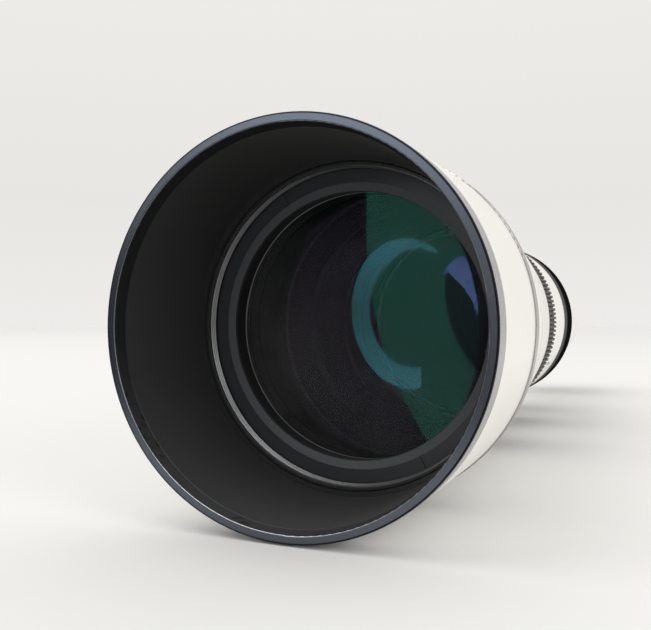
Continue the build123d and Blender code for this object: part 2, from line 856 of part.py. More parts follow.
def lock_shoe():
    shoe = radial_pin(shoe_radius, collar_middle, collar_seat_radius - 2 * overcut, shoe_back)
    face = tube(collar_seat_radius + seat, 0, collar_front, collar_back)
    return Rot(0, -90, 0) * (shoe - face)


def lock_stud():
    return Rot(0, -90, 0) * radial_pin(stud_radius, collar_middle, shoe_back, shoe_back + stud_length)


def lock_knob():
    low = boss_face + knob_gap
    round_body = Cylinder(knob_radius, knob_thickness)
    round_body = fillet(round_body.edges().group_by(Axis.Z)[-1], knob_edge_round)
    outline = Circle(knob_radius + overcut)
    for index in range(knob_lobe_count):
        turn = Rot(0, 0, 360 / knob_lobe_count * index)
        outline -= turn * Pos(knob_radius + knob_lobe_radius / 2, 0) * Circle(knob_lobe_radius)
    stud_depth = shoe_back + stud_length - low
    lobed = extrude(outline - Circle(stud_radius), stud_depth)
    lobed += Pos(0, 0, stud_depth) * extrude(outline, knob_thickness - stud_depth)
    knob = lobed & (Pos(0, 0, knob_thickness / 2) * round_body)
    return Rot(0, -90, 0) * Pos(0, collar_middle, low) * knob


# Zoom ring
zoom_scale_front = zoom_sleeve_back - zoom_scale_length
zoom_grip_front = zoom_sleeve_front + grip_front_lip
cam_front = zoom_sleeve_front + cam_end_setback
cam_back = zoom_sleeve_back - cam_end_setback
cam_screw_station = zoom_sleeve_back - cam_screw_setback


def zoom_sleeve():
    lip_radius = zoom_grip_seat + zoom_rib_base
    front_edge = (lip_radius, zoom_sleeve_front)
    outline = [(zoom_sleeve_bore, zoom_sleeve_front), front_edge, (lip_radius, zoom_grip_front),
               (zoom_grip_seat, zoom_grip_front), (zoom_grip_seat, zoom_scale_front),
               (zoom_scale_radius, zoom_scale_front), (zoom_scale_radius, zoom_sleeve_back),
               (zoom_sleeve_bore, zoom_sleeve_back)]
    sleeve = turned(outline, [(front_edge, edge_round)])
    for screw in cam_screw_shapes(seat):
        sleeve -= screw
    return sleeve


def cam_screw_shapes(gap):
    """The screws that tie the cam tube to the sleeve, or with a gap their holes."""
    low = cam_bore + cam_screw_gap
    high = zoom_scale_radius + (overcut if gap else -cam_screw_recess)
    screw = radial_pin(cam_screw_radius + gap, cam_screw_station, low, high)
    return round_the_axis(screw, spread(screw_count, cam_screw_angle))


def zoom_grip():
    return ribbed_ring(zoom_grip_seat, zoom_grip_radius - zoom_rib_height, zoom_grip_radius, zoom_rib_count,
                       zoom_grip_front, zoom_scale_front)


def zoom_scale():
    back = zoom_sleeve_back - zoom_mark_setback
    mark = mark_box(zoom_scale_radius, mark_width, back - mark_length, back)
    angles = [-zoom_angle / (zoom_mark_count - 1) * index for index in range(zoom_mark_count)]
    return marks_on(zoom_scale_radius, round_the_axis(mark, angles))


def cam_slot(station, travel, left_handed):
    """Curved slot of the cam tube: a strip along a helix with round ends, made for a follower at +X."""
    radius = (cam_bore + cam_radius) / 2
    pitch = travel * 360 / zoom_angle
    path = Helix(pitch, travel, radius, lefthand=left_handed)
    start = Plane(origin=path @ 0, x_dir=(1, 0, 0), z_dir=path % 0)
    strip = sweep(start * Rectangle(3 * cam_tube_wall, cam_slot_width), path=path, is_frenet=True)
    turn = Rot(0, 0, -zoom_angle if left_handed else zoom_angle)
    end = Pos(radius, 0, 0) * Rot(0, 90, 0) * Cylinder(cam_slot_width / 2, 3 * cam_tube_wall)
    strip = strip + end + turn * Pos(0, 0, travel) * end
    return Pos(0, station, 0) * Rot(-90, 0, 0) * strip


def cam_tube():
    shape = tube(cam_radius, cam_bore, cam_front, cam_back)
    variator_slot = cam_slot(variator_station, variator_travel, True)
    compensator_slot = Rot(0, -zoom_angle, 0) * cam_slot(compensator_station - compensator_travel,
                                                         compensator_travel, False)
    for angle in spread(follower_count):
        shape = shape - Rot(0, angle, 0) * variator_slot - Rot(0, angle, 0) * compensator_slot
    for screw in cam_screw_shapes(seat):
        shape -= screw
    return shape


# Zooming groups
def group_vertex(station, curves):
    """Front vertex of a cemented pair whose first rim rests on the cell's front lip."""
    lip = zoom_glass_radius - zoom_cell_lip
    lip_back = station - cell_length / 2 + zoom_cell_lip
    contact = lip if curves[0] > 0 else zoom_glass_radius
    return lip_back - sag(curves[0], contact)


def group_front_element(station, curves, thicknesses):
    return element(group_vertex(station, curves), thicknesses[0], curves[0], curves[1], zoom_glass_radius)


def group_back_element(station, curves, thicknesses):
    joint = group_vertex(station, curves) + thicknesses[0]
    return element(joint, thicknesses[1], curves[1], curves[2], zoom_glass_radius)


def sliding_cell(station):
    front = station - cell_length / 2
    back = station + cell_length / 2
    lip = zoom_glass_radius - zoom_cell_lip
    shape = turned([(lip, front), (zoom_cell_radius, front), (zoom_cell_radius, back),
                    (zoom_glass_radius + seat, back), (zoom_glass_radius + seat, front + zoom_cell_lip),
                    (lip, front + zoom_cell_lip)])
    for hole in followers(station, zoom_cell_radius + overcut):
        shape -= hole
    return shape


def followers(station, tip):
    root = zoom_glass_radius + follower_root_height
    pin = radial_pin(follower_radius, station, root, tip)
    return round_the_axis(pin, spread(follower_count, follower_angle))


def main():
    os.makedirs("parts", exist_ok=True)
    save("hood_tube", hood_tube())
    save("hood_front_ring", hood_front_ring())
    save("hood_rear_ring", hood_rear_ring())
    save("hood_lining", hood_lining())
    save("hood_guide_ring", hood_guide_ring())
    save("hood_felt", hood_felt())

    save("filter_ring", filter_ring())
    save("front_retaining_ring", front_retaining_ring())
    save("objective_cell", objective_cell())
    save("front_element", front_element())
    save("element_spacer", element_spacer())
    save("second_element", second_element())
    save("front_barrel", front_barrel())
    save("forward_light_stop", light_stop(cone_front + forward_stop_setback, forward_stop_radius))
    save("rear_light_stop", light_stop(cone_front + rear_stop_setback, rear_stop_radius))
    save("helicoid_tube", helicoid_tube())
    save("helicoid_screws", *helicoid_screws())
    save("guide_keys", *guide_keys())

    save("focus_sleeve", focus_sleeve())
    save("focus_grip", focus_grip())
    save("focus_scale", *focus_scale())

    save("main_tube", main_tube())
    save("focus_retaining_ring", focus_retaining_ring())
    save("index_ring", index_ring())
    save("index_marks", *index_marks())
    save("middle_cover", middle_cover())
    save("zoom_tube", zoom_tube())
    save("rear_barrel", rear_barrel())
    save("rear_cap", rear_cap())
    save("mount_ring", mount_ring())
    save("mount_screws", *mount_screws())
    save("rear_lens_cell", rear_lens_cell())
    save("rear_group_front_element", rear_group_front_element())
    save("rear_group_back_element", rear_group_back_element())
    save("rear_retaining_ring", rear_retaining_ring())

    save("tripod_collar", tripod_collar())
    save("collar_foot", collar_foot())
    save("foot_screws", *foot_screws())
    save("lock_shoe", lock_shoe())
    save("lock_stud", lock_stud())
    save("lock_knob", lock_knob())

    save("zoom_sleeve", zoom_sleeve())
    save("zoom_grip", zoom_grip())
    save("zoom_scale", *zoom_scale())
    save("cam_tube", cam_tube())
    save("cam_screws", *cam_screw_shapes(0))

    save("variator_cell", sliding_cell(variator_station))
    save("variator_followers", *followers(variator_station, follower_tip))
    save("variator_front_element",
         group_front_element(variator_station, variator_curves, variator_thicknesses))
    save("variator_back_element",
         group_back_element(variator_station, variator_curves, variator_thicknesses))
    save("compensator_cell", sliding_cell(compensator_station))
    save("compensator_followers", *followers(compensator_station, follower_tip))
    save("compensator_front_element",
         group_front_element(compensator_station, compensator_curves, compensator_thicknesses))
    save("compensator_back_element",
         group_back_element(compensator_station, compensator_curves, compensator_thicknesses))


main()
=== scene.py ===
import json
import math

import bmesh
import bpy
import numpy as np
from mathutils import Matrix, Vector

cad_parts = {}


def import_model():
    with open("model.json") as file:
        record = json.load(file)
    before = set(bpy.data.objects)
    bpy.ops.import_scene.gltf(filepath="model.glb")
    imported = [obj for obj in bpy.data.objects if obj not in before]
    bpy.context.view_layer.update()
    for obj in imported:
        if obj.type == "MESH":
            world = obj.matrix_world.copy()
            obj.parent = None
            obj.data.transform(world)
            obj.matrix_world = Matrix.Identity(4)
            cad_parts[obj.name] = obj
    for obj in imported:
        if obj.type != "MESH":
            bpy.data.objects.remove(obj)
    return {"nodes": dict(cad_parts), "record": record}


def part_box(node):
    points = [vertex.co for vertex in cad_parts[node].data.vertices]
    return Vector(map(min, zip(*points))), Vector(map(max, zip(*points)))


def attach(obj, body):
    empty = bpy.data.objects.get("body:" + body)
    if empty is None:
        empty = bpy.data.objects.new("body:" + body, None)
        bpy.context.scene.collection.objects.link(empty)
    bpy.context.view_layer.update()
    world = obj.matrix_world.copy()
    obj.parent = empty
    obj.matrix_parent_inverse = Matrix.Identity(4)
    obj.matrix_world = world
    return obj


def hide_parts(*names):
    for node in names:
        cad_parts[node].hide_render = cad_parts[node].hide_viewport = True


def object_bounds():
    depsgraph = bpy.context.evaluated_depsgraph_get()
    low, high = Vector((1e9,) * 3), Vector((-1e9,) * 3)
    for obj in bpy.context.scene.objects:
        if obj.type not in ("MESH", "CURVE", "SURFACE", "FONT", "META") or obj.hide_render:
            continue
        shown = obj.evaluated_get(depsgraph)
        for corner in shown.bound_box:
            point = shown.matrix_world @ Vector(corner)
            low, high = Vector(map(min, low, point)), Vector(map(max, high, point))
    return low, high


# White telephoto zoom lens, lying on its hood and its foot on a pale sheet.
# Metres. The optical axis is Y, the front of the lens faces -Y and +Z is up.
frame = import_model()
cad_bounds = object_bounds()
mm = 0.001

# Stations along the axis, radii and the floor's height, read from the frame
hood_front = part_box("hood_front_ring")[0].y
filter_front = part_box("filter_ring")[0].y
ring_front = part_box("front_retaining_ring")[0].y
ring_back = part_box("front_retaining_ring")[1].y
main_tube_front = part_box("main_tube")[0].y
collar_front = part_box("tripod_collar")[0].y
glass_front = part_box("front_element")[0].y
hood_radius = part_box("hood_front_ring")[1].x
rear_ring_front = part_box("hood_rear_ring")[0].y
focus_marks_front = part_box("focus_scale")[0].y
focus_scale_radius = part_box("focus_scale")[1].z
zoom_marks_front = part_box("zoom_scale")[0].y
zoom_scale_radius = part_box("zoom_scale")[1].z
mount_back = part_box("mount_ring")[1].y
floor_level = cad_bounds[0].z

# Edges that lie inside the boxes of their nodes
hood_mouth = 50.3 * mm  # radius of the bore where it meets the hood's flat front face
hood_nose = 4.1 * mm  # depth of the front ring's inner lip, before the lining starts
cone_front = -360.0 * mm  # station at which the front barrel's cone starts
tube_highlight_radius = 33.3 * mm  # radius up to which the main tube's front edge carries a painted highlight
chamfer_radius = 42.85 * mm  # radius at which the retaining ring's face turns into its chamfer

# Threads: the filter thread, the mount's thread and the tripod thread
filter_thread_radius = 47.0 * mm
filter_thread_pitch = 1.0 * mm
filter_thread_length = 4.0 * mm
mount_thread_radius = 21.0 * mm
mount_thread_pitch = 0.75 * mm
mount_thread_length = 5.0 * mm
tripod_thread_radius = 3.175 * mm
tripod_thread_pitch = 1.27 * mm
tripod_thread_length = 5.8 * mm
tripod_station = -234.0 * mm
thread_depth = 0.3 * mm

# Glasses: thickness, the curves of both faces and the rim's radius, and each sort's refractive index
front_glass = {"thickness": 12.0 * mm, "first_curve": 260.0 * mm, "last_curve": -220.0 * mm,
               "rim": 43.0 * mm}
second_glass = {"thickness": 5.0 * mm, "first_curve": -215.0 * mm, "last_curve": -1500.0 * mm,
                "rim": 43.0 * mm}
second_vertex = glass_front + 12.8 * mm
glass_edge_radius = 41.0 * mm  # where the ground bevel of the front glass meets its ring
glass_edge_width = 0.28 * mm
plain_glass = 1.52
dense_glass = 1.62

# Printed figures: distances in metres on the focusing ring, focal lengths on the zoom ring
distances = ("\u221e", "60", "30", "20", "15", "12", "10", "8", "7", "6", "5")
distance_angle = math.radians(24)
focal_lengths = ("650", "750", "900", "1100", "1300")
zoom_angle = math.radians(25)
figure_height = 4.2 * mm
figure_gap = 1.0 * mm
ink = 0.03 * mm

# Bore of the retaining ring, which opens towards the back, and its steps
bore_front = (40.43 * mm, ring_front + 1.2 * mm)
bore_back = (41.25 * mm, ring_back - 0.4 * mm)
bore_steps = 14
bore_step_height = 0.26 * mm

# Camera: where the photograph was taken from, and how it was turned
eye = Vector((85.3, -631.0, 3.2)) * mm
heading = math.radians(23.33)  # turned from straight along +Y towards -X
focal_length = 43.38
sensor_width = 36.0


# Meshes
def grid_faces(rows, columns, close_rows, close_columns):
    """Quads of a grid of points, each a step along the rows and a step along the columns."""
    row, column = np.meshgrid(np.arange(rows if close_rows else rows - 1),
                              np.arange(columns if close_columns else columns - 1), indexing="ij")
    next_row = (row + 1) % rows
    next_column = (column + 1) % columns
    corners = [row * columns + column, next_row * columns + column,
               next_row * columns + next_column, row * columns + next_column]
    return np.stack(corners, axis=-1).reshape(-1, 4)


def mesh_object(name, points, faces):
    """An object at the origin whose mesh is made of an array of points and a list of faces."""
    mesh = bpy.data.meshes.new(name)
    mesh.from_pydata(np.asarray(points).reshape(-1, 3).tolist(), [], [list(face) for face in faces])
    made = bpy.data.objects.new(name, mesh)
    bpy.context.scene.collection.objects.link(made)
    return made


def piece(name, points, faces, finish, body, smooth=True):
    """A new piece of the lens, which rides on a body and takes a finish."""
    made = mesh_object(name, points, faces)
    made.data.polygons.foreach_set("use_smooth", np.full(len(made.data.polygons), smooth))
    made.data.materials.append(finish)
    made.data.update()
    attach(made, body)
    return made


def turned(name, outline, finish, body, steps=256):
    """Ring turned about the optical axis: each (radius, station) of a closed outline goes round the
    circle as (radius sin t, station, radius cos t). The outline is put in the order that faces out."""
    outline = np.array(outline)
    shifted = np.roll(outline, -1, axis=0)
    area = np.sum(outline[:, 0] * shifted[:, 1] - shifted[:, 0] * outline[:, 1])
    if area > 0:
        outline = outline[::-1]
    turn = np.linspace(0, 2 * math.pi, steps, endpoint=False)
    radius, station = outline[:, :1], outline[:, 1:]
    points = np.stack([radius * np.sin(turn), station + 0 * turn, radius * np.cos(turn)], axis=-1)
    faces = grid_faces(len(outline), steps, True, True)
    return piece(name, points, faces, finish, body, smooth=False)


def thread_ridge(name, root, crest, pitch, length, finish, body, place, steps_a_turn):
    """Helical ridge: a four-cornered section carried round the axis while it climbs one pitch a turn.
    The section's radius runs from the root to the crest and tapers to nothing over the first and last
    eighth of a turn. place turns points (radius sin t, station, radius cos t) into the part's frame."""
    foot, flat = 0.44 * pitch, 0.1 * pitch
    turns = length / pitch - 1
    steps = int(turns * steps_a_turn) + 1
    turn = np.linspace(0, 2 * math.pi * turns, steps)
    taper = np.clip(np.minimum(turn, turn[-1] - turn) / (math.pi / 4), 0.02, 1)
    bury = 0.03 * mm * np.sign(root - crest)
    widths = np.array([-foot, -flat, flat, foot])
    heights = np.array([0, 1, 1, 0])
    radius = root + bury * (1 - heights) + (crest - root) * heights * taper[:, None]
    station = pitch / 2 + turn[:, None] / (2 * math.pi) * pitch + widths * taper[:, None]
    points = np.stack([radius * np.sin(turn)[:, None], station, radius * np.cos(turn)[:, None]], axis=-1)
    last = 4 * steps - 1
    faces = grid_faces(steps, 4, False, True).tolist()
    faces += [[0, 1, 2, 3], [last, last - 1, last - 2, last - 3]]
    if crest < root:
        faces = [face[::-1] for face in faces]
    return piece(name, place(points), faces, finish, body, smooth=False)


def sag(curve, radius):
    """Depth of a spherical face at a radius, positive where it curves back towards +Y."""
    return curve - np.sign(curve) * np.sqrt(curve ** 2 - radius ** 2)


def lens(name, vertex, thickness, first_curve, last_curve, rim, coatings, body, slot, steps=192, rings=40):
    """Glass element: points (r sin t, vertex + sag(r), r cos t) on both spherical faces, with r from the
    pole to the rim, joined by a ground rim. Each face has its own coating."""
    radius = rim * np.arange(1, rings + 1)[:, None] / rings
    turn = np.linspace(0, 2 * math.pi, steps, endpoint=False)
    across, up = radius * np.sin(turn), radius * np.cos(turn)
    front = np.stack([across, vertex + sag(first_curve, radius) + 0 * turn, up], axis=-1)
    back = np.stack([across, vertex + thickness + sag(last_curve, radius) + 0 * turn, up], axis=-1)
    poles = [[0, vertex, 0], [0, vertex + thickness, 0]]
    points = np.concatenate([front.reshape(-1, 3), back[::-1].reshape(-1, 3), poles])
    faces = grid_faces(2 * rings, steps, False, True)[:, ::-1]
    step = np.arange(steps)
    following = (step + 1) % steps
    last_row = (2 * rings - 1) * steps
    pole = np.full(steps, 2 * rings * steps)
    front_pole = np.stack([following, step, pole], axis=-1)
    back_pole = np.stack([last_row + step, last_row + following, pole + 1], axis=-1)
    all_faces = faces.tolist() + front_pole.tolist() + back_pole.tolist()
    made = piece(name, points, all_faces, coatings[0], body)
    made.data.materials.append(coatings[1])
    row = np.arange(len(faces)) // steps
    second = np.concatenate([row >= rings, np.zeros(steps), np.ones(steps)]).astype(int)
    made.data.polygons.foreach_set("material_index", second)
    made.data.set_sharp_from_angle(angle=math.radians(30))
    return made


# Materials
class Finish:
    """A material being made: its shader, and short names for the nodes that feed it."""

    def __init__(self, name):
        self.material = bpy.data.materials.new(name)
        self.material.use_nodes = True
        self.nodes = self.material.node_tree.nodes
        self.links = self.material.node_tree.links
        self.shader = self.nodes["Principled BSDF"]
        self.place = self.nodes.new("ShaderNodeTexCoord").outputs["Object"]

    def feed(self, socket, value):
        """Links a node's output to a socket, or writes a number or colour into it."""
        if isinstance(value, bpy.types.NodeSocket):
            self.links.new(value, socket)
        else:
            socket.default_value = value

    def set(self, **values):
        """Sockets of the shader, with a space in their names written as an underscore."""
        for name, value in values.items():
            self.feed(self.shader.inputs[name.replace("_", " ")], value)

    def fed(self, name):
        """What feeds a socket of the shader so far."""
        return self.shader.inputs[name].links[0].from_socket

    def math(self, operation, first, second=0.0):
        """Outcome of a sum on two sockets or numbers, of which some operations need only the first."""
        node = self.nodes.new("ShaderNodeMath")
        node.operation = operation
        self.feed(node.inputs[0], first)
        self.feed(node.inputs[1], second)
        return node.outputs[0]

    def times(self, first, second):
        return self.math("MULTIPLY", first, second)

    def plus(self, first, second):
        return self.math("ADD", first, second)

    def parts(self):
        """The x, y and z of the object coordinates."""
        node = self.nodes.new("ShaderNodeSeparateXYZ")
        self.links.new(self.place, node.inputs[0])
        return node.outputs[0], node.outputs[1], node.outputs[2]

    def radius(self):
        """Distance from the optical axis."""
        x, _, z = self.parts()
        return self.math("SQRT", self.plus(self.times(x, x), self.times(z, z)))

    def rings(self):
        """Coordinates that change with radius and station but not round the axis, as lathe marks do."""
        node = self.nodes.new("ShaderNodeCombineXYZ")
        self.links.new(self.radius(), node.inputs[0])
        self.links.new(self.parts()[1], node.inputs[1])
        return node.outputs[0]

    def brushed(self):
        """Coordinates stretched along a slanting direction, as a wiping cloth leaves its streaks."""
        node = self.nodes.new("ShaderNodeMapping")
        node.inputs["Rotation"].default_value = (0, math.radians(35), 0)
        node.inputs["Scale"].default_value = (0.12, 1, 1)
        self.links.new(self.place, node.inputs[0])
        return node.outputs[0]

    def noise(self, size, detail=3.0, place=None, roughness=0.5):
        """Noise whose blots are about as large as size, in metres."""
        node = self.nodes.new("ShaderNodeTexNoise")
        node.inputs["Scale"].default_value = 1 / size
        node.inputs["Detail"].default_value = detail
        node.inputs["Roughness"].default_value = roughness
        self.links.new(place or self.place, node.inputs["Vector"])
        return node.outputs[0]

    def between(self, value, low, high, start=0.0, end=1.0):
        """value mapped from low..high to start..end, and held there."""
        node = self.nodes.new("ShaderNodeMapRange")
        for socket, number in zip(node.inputs[1:5], (low, high, start, end)):
            self.feed(socket, number)
        self.links.new(value, node.inputs[0])
        return node.outputs[0]

    def below(self, value, low, high):
        """1 where value is under low, falling to 0 at high."""
        return self.between(value, low, high, 1.0, 0.0)

    def window(self, value, low, high, soft=0.05 * mm):
        """1 where value lies between low and high, falling to 0 outside them."""
        rise = self.between(value, low - soft, low + soft)
        return self.times(rise, self.below(value, high - soft, high + soft))

    def facing_out(self):
        """1 where the surface faces straight away from the optical axis, -1 where it faces the axis."""
        node = self.nodes.new("ShaderNodeSeparateXYZ")
        self.links.new(self.place.node.outputs["Normal"], node.inputs[0])
        x, _, z = self.parts()
        along = self.plus(self.times(x, node.outputs[0]), self.times(z, node.outputs[2]))
        return self.math("DIVIDE", along, self.radius())

    def colour(self, share, first, second):
        """Mix of two colours, all of the first where share is 0."""
        node = self.nodes.new("ShaderNodeMix")
        node.data_type = "RGBA"  # its colours are inputs 6 and 7 and output 2
        self.feed(node.inputs[0], share)
        self.feed(node.inputs[6], first if isinstance(first, bpy.types.NodeSocket) else (*first, 1))
        self.feed(node.inputs[7], second if isinstance(second, bpy.types.NodeSocket) else (*second, 1))
        return node.outputs[2]

    def bump(self, height, depth):
        """Relief of a height from 0 to 1, depth metres deep, on top of any relief made before."""
        node = self.nodes.new("ShaderNodeBump")
        node.inputs["Strength"].default_value = 1.0
        node.inputs["Distance"].default_value = depth
        self.links.new(height, node.inputs["Height"])
        if self.shader.inputs["Normal"].is_linked:
            self.links.new(self.fed("Normal"), node.inputs["Normal"])
        self.links.new(node.outputs[0], self.shader.inputs["Normal"])


def white_paint():
    """Satin enamel with a fine orange peel and faint handling marks. Walls that face the axis are black,
    and so is all that the front glasses look in on."""
    finish = Finish("white_paint")
    peel = finish.noise(0.9 * mm, 2)
    smudge = finish.noise(14 * mm, 4, roughness=0.6)
    speck = finish.between(finish.noise(0.7 * mm, 1), 0.76, 0.8)
    clean = finish.colour(smudge, (0.87, 0.85, 0.815), (0.90, 0.885, 0.86))
    white = finish.colour(speck, clean, (0.45, 0.43, 0.4))
    bore = finish.below(finish.radius(), front_glass["rim"], front_glass["rim"] + 1 * mm)
    ahead_of_cone = finish.window(finish.parts()[1], ring_front, cone_front - 4 * mm)
    behind_glass = finish.times(ahead_of_cone, bore)
    inside = finish.math("MAXIMUM", behind_glass, finish.below(finish.facing_out(), -0.3, -0.2))
    finish.set(Base_Color=finish.colour(inside, white, (0.012, 0.012, 0.013)), Coat_Weight=0.3,
               Coat_Roughness=0.12, Roughness=finish.between(smudge, 0.35, 0.65, 0.34, 0.46))
    finish.bump(peel, 0.012 * mm)
    return finish.material


def turned_metal(name, dark, light, metallic, rough):
    """Metal with lathe marks round the axis: rings of uneven sheen, a fine tooth and a few rubbed spots.
    It is returned as a Finish, so that more can be added to it."""
    mark_depth = 0.004 * mm
    finish = Finish(name)
    lathe = finish.noise(0.16 * mm, 3, finish.rings(), 0.7)
    tooth = finish.noise(0.12 * mm, 2)
    rubbed = finish.between(finish.noise(5 * mm, 5, roughness=0.65), 0.5, 0.72)
    shade = finish.colour(finish.between(lathe, 0.3, 0.7), dark, light)
    finish.set(Base_Color=finish.colour(finish.times(rubbed, 0.35), shade, light), Metallic=metallic,
               Roughness=finish.between(lathe, 0.3, 0.7, rough - 0.05, rough + 0.07))
    finish.bump(lathe, mark_depth)
    finish.bump(tooth, 0.5 * mark_depth)
    return finish


def dark_anodised():
    """Blue-black anodising of the hood's two rings. The front one has a thin black line round its flat
    face, a rubbed inner edge with a painted highlight on the low side, and chips in the lip. The lip has
    painted shade, near black at the top, and painted light on the low side, brightest where it meets the
    lining. The rear one is greyer."""
    finish = turned_metal("dark_anodised", (0.092, 0.106, 0.13), (0.124, 0.14, 0.168), metallic=1.0,
                          rough=0.24)
    plain = finish.fed("Base Color")
    sheen = finish.fed("Roughness")
    radius = finish.radius()
    station = finish.parts()[1]
    flat = finish.below(station, hood_front + 0.45 * mm, hood_front + 0.6 * mm)
    outside = finish.between(radius, hood_radius - 0.4 * mm, hood_radius - 0.3 * mm)
    line = finish.between(radius, hood_radius - 0.65 * mm, hood_radius - 0.45 * mm)
    inner_edge = finish.between(radius, hood_mouth + 0.12 * mm, hood_mouth + 0.3 * mm, 0.9, 0.0)
    bore = finish.below(radius, hood_mouth - 0.06 * mm, hood_mouth - 0.02 * mm)
    lip = finish.times(bore, finish.between(station, hood_front + 0.4 * mm, hood_front + 0.55 * mm))
    chips = finish.times(finish.between(finish.noise(1.6 * mm, 3), 0.6, 0.63),
                         finish.between(finish.noise(17 * mm, 1), 0.5, 0.54))
    # low is 1 on the low side and 0 at the top; the marks below that use it are painted light and shade
    low = finish.below(finish.parts()[2], -45 * mm, -5 * mm)
    # inner edge: a little real rubbing all round, and a painted highlight that grows towards the low side
    worn_and_painted_highlight = finish.times(finish.times(flat, inner_edge), finish.plus(finish.times(low, 0.8), 0.2))
    lining_front = hood_front + hood_nose
    lining_edge = finish.window(station, lining_front - 0.3 * mm, lining_front + 1 * mm)
    rear = finish.between(station, rear_ring_front - 2 * mm, rear_ring_front - 1 * mm)
    shade = finish.colour(outside, plain, (0.36, 0.352, 0.36))
    shade = finish.colour(worn_and_painted_highlight, shade, (0.24, 0.245, 0.255))
    shade = finish.colour(finish.times(flat, line), shade, (0.012, 0.013, 0.016))
    # painted shade and light on the lip: near black at the top, lighter on the low side
    shade = finish.colour(lip, shade, finish.colour(low, (0.006, 0.0065, 0.007), (0.036, 0.037, 0.038)))
    shade = finish.colour(finish.times(lip, chips), shade, (0.003, 0.003, 0.004))
    # painted highlight where the lip meets the lining, on the low side
    shade = finish.colour(finish.times(lip, finish.times(low, lining_edge)), shade, (0.09, 0.095, 0.1))
    shade = finish.colour(rear, shade, (0.36, 0.345, 0.34))
    finish.set(Base_Color=shade, Metallic=finish.math("SUBTRACT", 1.0, lip), Specular_IOR_Level=0.4,
               Roughness=finish.plus(sheen, finish.times(lip, 0.25)))
    return finish.material


def black_anodised():
    """Matt black anodising of the threads, cells and inner tubes. The filter thread's crests are rubbed
    bright, the main tube's front edge has a painted highlight, the retaining ring's face is a little
    greyer and its chamfer greyer still, a painted highlight, and what lies behind the front glass is
    painted a deader black."""
    finish = turned_metal("black_anodised", (0.016, 0.017, 0.019), (0.026, 0.028, 0.032), metallic=0.0,
                          rough=0.38)
    plain = finish.fed("Base Color")
    sheen = finish.fed("Roughness")
    radius = finish.radius()
    station = finish.parts()[1]
    thread_root = filter_thread_radius - 0.6 * mm
    inner_reach = front_glass["rim"] + 1.5 * mm
    thread = finish.times(finish.window(radius, thread_root, filter_thread_radius + 0.3 * mm),
                          finish.below(station, ring_front - 0.2 * mm, ring_front))
    tube_front = finish.window(station, main_tube_front - 0.5 * mm, main_tube_front + 0.4 * mm)
    tube_edge_painted_highlight = finish.times(tube_front, finish.below(radius, tube_highlight_radius - 0.1 * mm,
                                                      tube_highlight_radius + 0.1 * mm))
    face = finish.times(finish.window(station, ring_front - 0.3 * mm, ring_front + 0.9 * mm),
                        finish.below(radius, thread_root - 0.1 * mm, thread_root))
    inner = finish.times(finish.between(station, ring_front + 1.1 * mm, ring_front + 1.3 * mm),
                         finish.below(radius, inner_reach, inner_reach + 0.5 * mm))
    chamfer = finish.below(radius, chamfer_radius - 0.05 * mm, chamfer_radius + 0.05 * mm)
    shade = finish.colour(face, plain, (0.024, 0.028, 0.033))
    # the chamfer is painted greyer than the face: a painted highlight
    shade = finish.colour(finish.times(face, chamfer), shade, (0.037, 0.0425, 0.049))
    shade = finish.colour(inner, shade, (0.006, 0.0062, 0.0066))
    shade = finish.colour(thread, shade, (0.22, 0.22, 0.225))
    # painted highlight on the main tube's front edge
    shade = finish.colour(tube_edge_painted_highlight, shade, (0.75, 0.75, 0.7))
    finish.set(Base_Color=shade, Metallic=thread, Specular_IOR_Level=0.6,
               Roughness=finish.plus(sheen, finish.times(inner, 0.25)))
    return finish.material


def collar_enamel():
    """Coarse matt black paint of the tripod collar. Its rounded front shoulder is painted grey, a painted
    highlight broken up by wear.
    """
    finish = Finish("collar_enamel")
    grain = finish.noise(0.35 * mm, 4, roughness=0.7)
    wear = finish.noise(5 * mm, 4, roughness=0.6)
    shoulder = finish.below(finish.parts()[1], collar_front + 6 * mm, collar_front + 9 * mm)
    plain = finish.colour(wear, (0.005, 0.005, 0.0055), (0.009, 0.009, 0.0095))
    # painted highlight on the front shoulder, broken up by the wear noise
    rubbed = finish.times(shoulder, finish.between(wear, 0.2, 0.8, 0.75, 1.0))
    finish.set(Base_Color=finish.colour(rubbed, plain, (0.115, 0.115, 0.112)), Specular_IOR_Level=0.0,
               Roughness=finish.between(grain, 0.3, 0.7, 0.68, 0.8))
    finish.bump(grain, 0.06 * mm)
    return finish.material


def blackened_steel():
    """Black oxide on the small screws that stand in the light's way."""
    finish = turned_metal("blackened_steel", (0.012, 0.012, 0.013), (0.022, 0.022, 0.024), metallic=0.0,
                          rough=0.5)
    return finish.material


def ground_glass():
    """Pale ground edge of a lens, with chipped grain."""
    finish = Finish("ground_glass")
    grain = finish.noise(0.2 * mm, 4, roughness=0.7)
    patch = finish.noise(7 * mm, 3)
    finish.set(Base_Color=finish.colour(patch, (0.16, 0.17, 0.175), (0.42, 0.44, 0.45)),
               Roughness=finish.between(grain, 0.3, 0.7, 0.35, 0.6))
    finish.bump(grain, 0.02 * mm)
    return finish.material


def rubber():
    """Moulded grip rubber with a dusty bloom."""
    finish = Finish("rubber")
    bloom = finish.noise(3 * mm, 5, roughness=0.65)
    grain = finish.noise(0.15 * mm, 2)
    dusty = finish.colour(finish.between(bloom, 0.35, 0.7), (0.095, 0.09, 0.088), (0.13, 0.124, 0.12))
    finish.set(Base_Color=dusty, Specular_IOR_Level=0.2,
               Roughness=finish.between(grain, 0.3, 0.7, 0.68, 0.8))
    finish.bump(grain, 0.02 * mm)
    return finish.material


